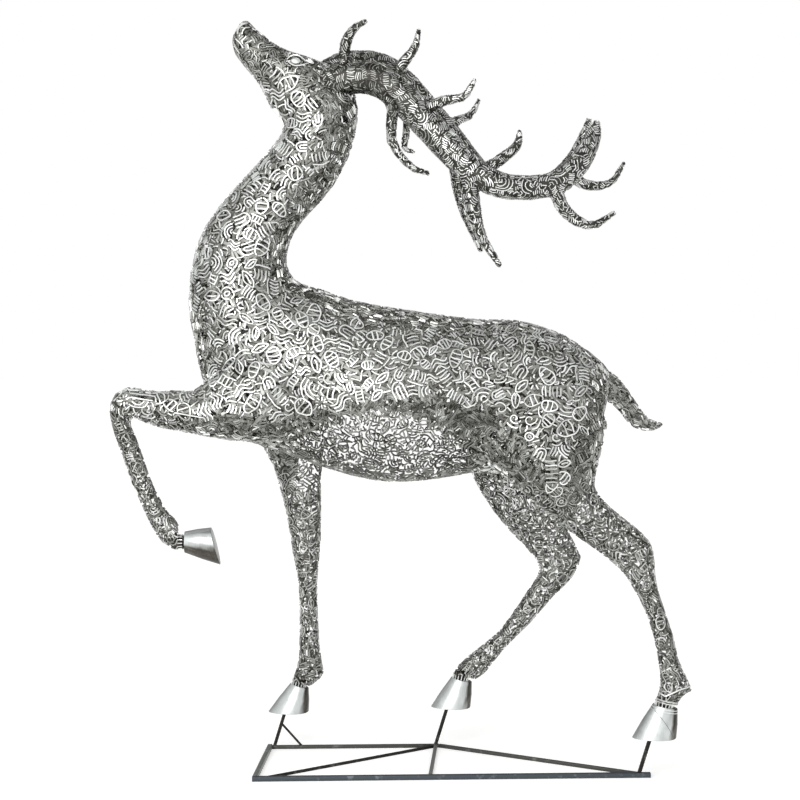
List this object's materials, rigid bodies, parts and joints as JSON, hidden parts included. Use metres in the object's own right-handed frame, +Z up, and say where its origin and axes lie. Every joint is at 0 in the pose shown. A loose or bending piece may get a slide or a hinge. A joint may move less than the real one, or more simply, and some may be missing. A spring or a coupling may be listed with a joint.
{
  "type": "deer sculpture",
  "caption": "Standing stag welded from open steel strokes, head lifted and one foreleg raised, with swept-back antlers and sheet hooves, on a low ground frame of bars and posts.",
  "frame": {"origin": "on the ground, under the middle of the whole sculpture's length and width", "axes": "+Z up, the stag faces -X, its left side faces -Y"},
  "size_m": [1.9404, 0.5092, 2.5484],
  "materials": {
    "openwork_steel": "polished strokes over a shaded inside",
    "dark_openwork_steel": "dull polished strokes, close set",
    "satin_sheet": "satin",
    "blackened_steel": "blackened, dull",
    "grey_steel": "bare, dull"
  },
  "bodies": {
    "root": {"deer_body": "openwork_steel", "left_antler": "dark_openwork_steel", "right_antler": "dark_openwork_steel", "left_front_hoof": "satin_sheet", "right_front_hoof": "satin_sheet", "left_hind_hoof": "satin_sheet", "right_hind_hoof": "satin_sheet", "near_rail": "blackened_steel", "end_bar": "grey_steel", "far_rail_front": "blackened_steel", "far_rail_rear": "blackened_steel", "cross_bar": "grey_steel", "diagonal_bar": "blackened_steel", "post_right_front": "blackened_steel", "post_right_hind": "blackened_steel", "post_left_hind": "blackened_steel", "post_brace": "blackened_steel"}
  },
  "joints": []
}
